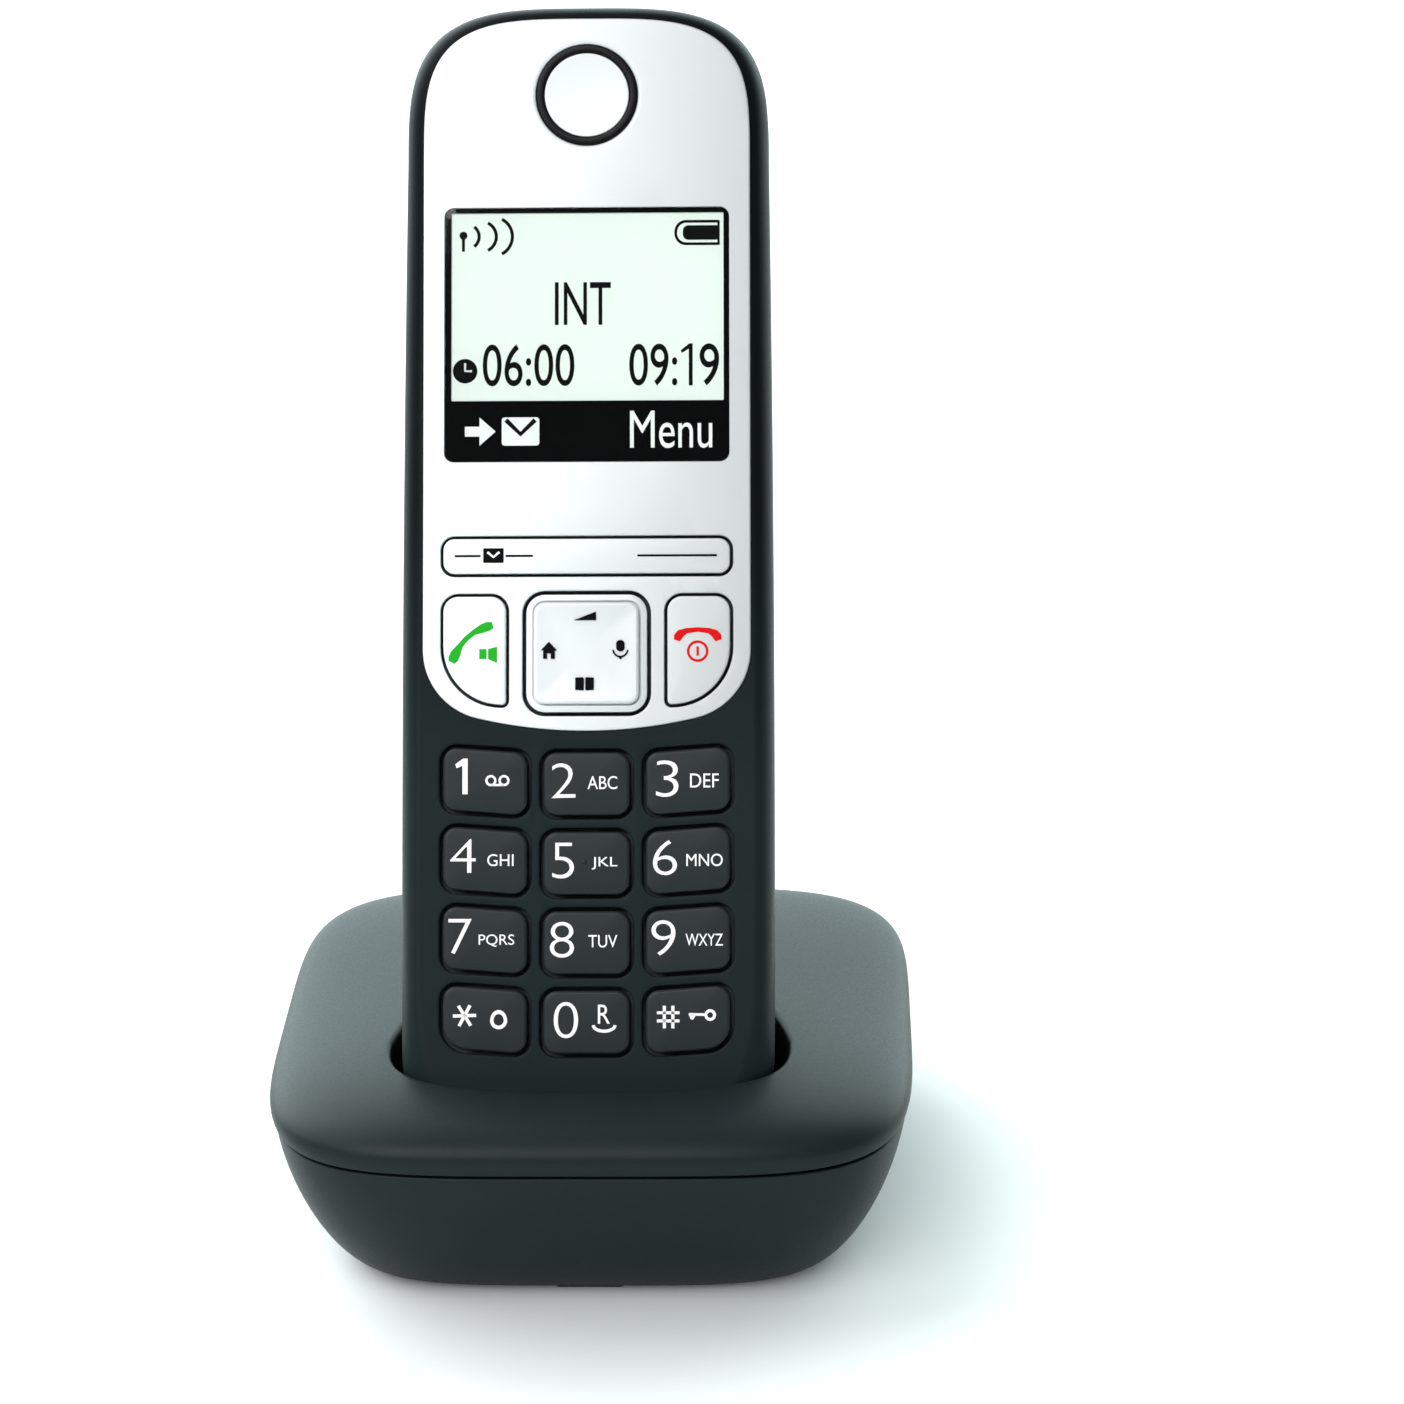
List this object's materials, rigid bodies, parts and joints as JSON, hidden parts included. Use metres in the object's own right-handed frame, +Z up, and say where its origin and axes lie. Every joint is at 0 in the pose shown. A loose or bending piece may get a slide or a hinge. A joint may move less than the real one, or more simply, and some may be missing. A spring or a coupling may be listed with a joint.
{
  "type": "cordless phone with base",
  "caption": "Slim cordless telephone handset with a silver face and backlit display, standing tilted in a low rounded-square charging base.",
  "frame": {"origin": "middle of the whole object's plan with the handset docked, at the level of the surface that the feet stand on", "axes": "+Z up, -Y the front that the display faces, +X to the right as seen from the front"},
  "size_m": [0.085, 0.0937, 0.1546],
  "materials": {
    "shell": "dark anthracite moulded plastic with a fine satin texture",
    "number_keys": "dark anthracite satin key caps",
    "silver": "silver-white satin paint on plastic",
    "gloss_black": "glossy black",
    "window": "clear hard-coated window",
    "lcd": "pale green-white display",
    "black_plastic": "matte black",
    "circuit_board": "green solder mask",
    "steel": "plain steel",
    "contact_metal": "gold-plated contact",
    "rubber": "soft rubber",
    "cell_sleeve": "printed-colour film sleeve, no lettering"
  },
  "bodies": {
    "base": {"base_top_shell": "shell", "base_bottom_shell": "shell", "base_board": "circuit_board", "base_board_chips": "black_plastic", "base_antenna": "steel", "power_jack": "black_plastic", "line_jack": "black_plastic", "contact_block": "black_plastic", "base_feet": "rubber", "front_foot": "rubber", "base_screws": "steel"},
    "contact_left": {"base_contact_left": "contact_metal"},
    "contact_right": {"base_contact_right": "contact_metal"},
    "page_button": {"page_key": "shell"},
    "handset": {"handset_front_shell": "shell", "handset_rear_shell": "shell", "faceplate": "silver", "earpiece_ring": "gloss_black", "earpiece_disc": "silver", "display_window": "window", "lcd_panel": "lcd", "lcd_holder": "black_plastic", "keymat": "rubber", "main_board": "circuit_board", "board_shield": "steel", "board_chips": "black_plastic", "receiver_capsule": "black_plastic", "loudspeaker": "black_plastic", "microphone": "steel", "handset_antenna": "steel", "battery_cell_left": "cell_sleeve", "battery_cell_right": "cell_sleeve", "battery_springs": "steel", "battery_plates": "steel", "charge_pads": "contact_metal", "handset_screws": "steel"},
    "battery_lid": {"battery_cover": "shell"},
    "soft_keys": {"soft_key_bar": "silver"},
    "talk": {"talk_key": "silver"},
    "end": {"end_key": "silver"},
    "nav_gimbal": {"nav_pivot": "black_plastic"},
    "nav_pad": {"nav_key": "silver"},
    "button_1": {"key_1": "number_keys"},
    "button_2": {"key_2": "number_keys"},
    "button_3": {"key_3": "number_keys"},
    "button_4": {"key_4": "number_keys"},
    "button_5": {"key_5": "number_keys"},
    "button_6": {"key_6": "number_keys"},
    "button_7": {"key_7": "number_keys"},
    "button_8": {"key_8": "number_keys"},
    "button_9": {"key_9": "number_keys"},
    "button_star": {"key_star": "number_keys"},
    "button_0": {"key_0": "number_keys"},
    "button_hash": {"key_hash": "number_keys"}
  },
  "joints": [
    {"name": "handset_lift", "type": "slide", "parent": "base", "child": "handset", "axis": [0, 0.4147, 0.91], "range_m": [0, 0.06]},
    {"name": "contact_left_flex", "type": "slide", "parent": "base", "child": "contact_left", "axis": [0, -0.4147, -0.91], "range_m": [0, 0.001], "stiffness_N_per_m": 300},
    {"name": "contact_right_flex", "type": "slide", "parent": "base", "child": "contact_right", "axis": [0, -0.4147, -0.91], "range_m": [0, 0.001], "stiffness_N_per_m": 300},
    {"name": "page_press", "type": "slide", "parent": "base", "child": "page_button", "axis": [0, -1, 0], "range_m": [0, 0.0005], "stiffness_N_per_m": 1000},
    {"name": "battery_lid_release", "type": "slide", "parent": "handset", "child": "battery_lid", "axis": [0, 0.91, -0.4147], "range_m": [0, 0.006]},
    {"name": "press_1", "type": "slide", "parent": "handset", "child": "button_1", "axis": [0, 0.91, -0.4147], "range_m": [0, 0.0006], "stiffness_N_per_m": 1000},
    {"name": "press_2", "type": "slide", "parent": "handset", "child": "button_2", "axis": [0, 0.91, -0.4147], "range_m": [0, 0.0006], "stiffness_N_per_m": 1000},
    {"name": "press_3", "type": "slide", "parent": "handset", "child": "button_3", "axis": [0, 0.91, -0.4147], "range_m": [0, 0.0006], "stiffness_N_per_m": 1000},
    {"name": "press_4", "type": "slide", "parent": "handset", "child": "button_4", "axis": [0, 0.91, -0.4147], "range_m": [0, 0.0006], "stiffness_N_per_m": 1000},
    {"name": "press_5", "type": "slide", "parent": "handset", "child": "button_5", "axis": [0, 0.91, -0.4147], "range_m": [0, 0.0006], "stiffness_N_per_m": 1000},
    {"name": "press_6", "type": "slide", "parent": "handset", "child": "button_6", "axis": [0, 0.91, -0.4147], "range_m": [0, 0.0006], "stiffness_N_per_m": 1000},
    {"name": "press_7", "type": "slide", "parent": "handset", "child": "button_7", "axis": [0, 0.91, -0.4147], "range_m": [0, 0.0006], "stiffness_N_per_m": 1000},
    {"name": "press_8", "type": "slide", "parent": "handset", "child": "button_8", "axis": [0, 0.91, -0.4147], "range_m": [0, 0.0006], "stiffness_N_per_m": 1000},
    {"name": "press_9", "type": "slide", "parent": "handset", "child": "button_9", "axis": [0, 0.91, -0.4147], "range_m": [0, 0.0006], "stiffness_N_per_m": 1000},
    {"name": "press_star", "type": "slide", "parent": "handset", "child": "button_star", "axis": [0, 0.91, -0.4147], "range_m": [0, 0.0006], "stiffness_N_per_m": 1000},
    {"name": "press_0", "type": "slide", "parent": "handset", "child": "button_0", "axis": [0, 0.91, -0.4147], "range_m": [0, 0.0006], "stiffness_N_per_m": 1000},
    {"name": "press_hash", "type": "slide", "parent": "handset", "child": "button_hash", "axis": [0, 0.91, -0.4147], "range_m": [0, 0.0006], "stiffness_N_per_m": 1000},
    {"name": "talk_press", "type": "slide", "parent": "handset", "child": "talk", "axis": [0, 0.91, -0.4147], "range_m": [0, 0.0006], "stiffness_N_per_m": 1000},
    {"name": "end_press", "type": "slide", "parent": "handset", "child": "end", "axis": [0, 0.91, -0.4147], "range_m": [0, 0.0006], "stiffness_N_per_m": 1000},
    {"name": "soft_key_rock", "type": "hinge", "parent": "handset", "child": "soft_keys", "pos_m": [0, -0.00095, 0.08838], "axis": [0, 0.4147, 0.91], "range_deg": [-1, 1], "stiffness_Nm_per_rad": 0.5},
    {"name": "nav_tilt_up_down", "type": "hinge", "parent": "handset", "child": "nav_gimbal", "pos_m": [0, -0.00619, 0.0769], "axis": [1, 0, 0], "range_deg": [-1.2, 1.2], "stiffness_Nm_per_rad": 0.3},
    {"name": "nav_tilt_side", "type": "hinge", "parent": "nav_gimbal", "child": "nav_pad", "pos_m": [0, -0.00619, 0.0769], "axis": [0, 0.4147, 0.91], "range_deg": [-1.2, 1.2], "stiffness_Nm_per_rad": 0.3}
  ]
}
